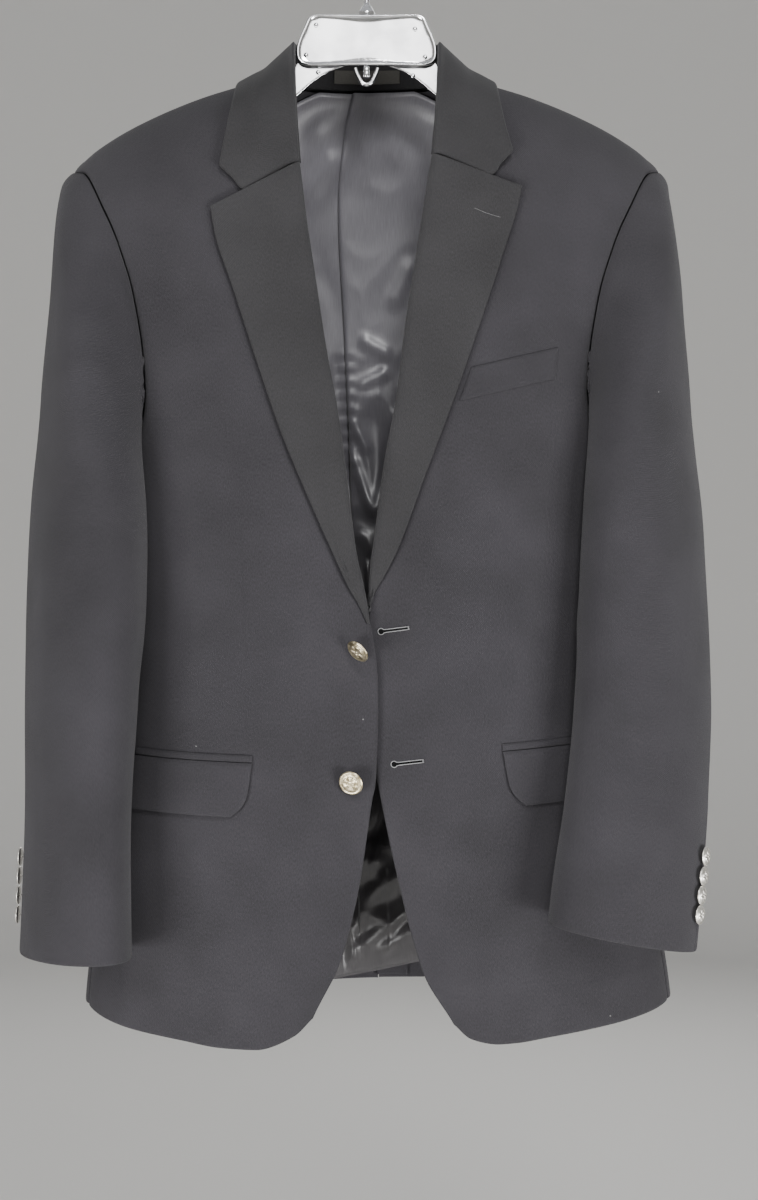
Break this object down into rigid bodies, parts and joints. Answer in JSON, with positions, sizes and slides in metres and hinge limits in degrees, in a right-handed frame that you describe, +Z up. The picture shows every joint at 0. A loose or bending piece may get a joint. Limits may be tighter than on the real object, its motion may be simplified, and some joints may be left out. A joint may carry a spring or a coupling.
{
  "type": "blazer on a hanger",
  "caption": "Open single-breasted blazer with notched lapels, flap pockets and a lined back, hanging on a wire-hook suit hanger.",
  "frame": {"origin": "top of the inside of the hanger's hook, where it rests on the rail", "axes": "+Z up, +Y from the fronts to the back, +X towards the wearer's left sleeve"},
  "size_m": [0.5692, 0.218, 0.9232],
  "materials": {
    "wool": "smooth matte worsted",
    "lining_satin": "soft satin sheen",
    "label_cloth": "matte woven tape",
    "button_metal": "embossed pale polish",
    "hanger_chrome": "polished"
  },
  "bodies": {
    "root": {"back_left": "wool", "back_right": "wool", "chest_welt": "wool", "collar": "wool", "flap_left": "wool", "flap_right": "wool", "front_left": "wool", "front_right": "wool", "jet_left": "wool", "jet_right": "wool", "lapel_left": "wool", "lapel_right": "wool", "side_left": "wool", "side_right": "wool", "top_sleeve_left": "wool", "top_sleeve_right": "wool", "under_sleeve_left": "wool", "under_sleeve_right": "wool", "vent_underlap": "wool", "back_lining": "lining_satin", "neck_label": "label_cloth", "cuff_button_left_1": "button_metal", "cuff_button_left_2": "button_metal", "cuff_button_left_3": "button_metal", "cuff_button_left_4": "button_metal", "cuff_button_right_1": "button_metal", "cuff_button_right_2": "button_metal", "cuff_button_right_3": "button_metal", "cuff_button_right_4": "button_metal", "front_button_lower": "button_metal", "front_button_upper": "button_metal", "hanger_arms": "hanger_chrome", "hanger_hook": "hanger_chrome", "hanger_lock": "hanger_chrome", "hanger_loop": "hanger_chrome", "hanger_plate": "hanger_chrome"}
  },
  "joints": []
}
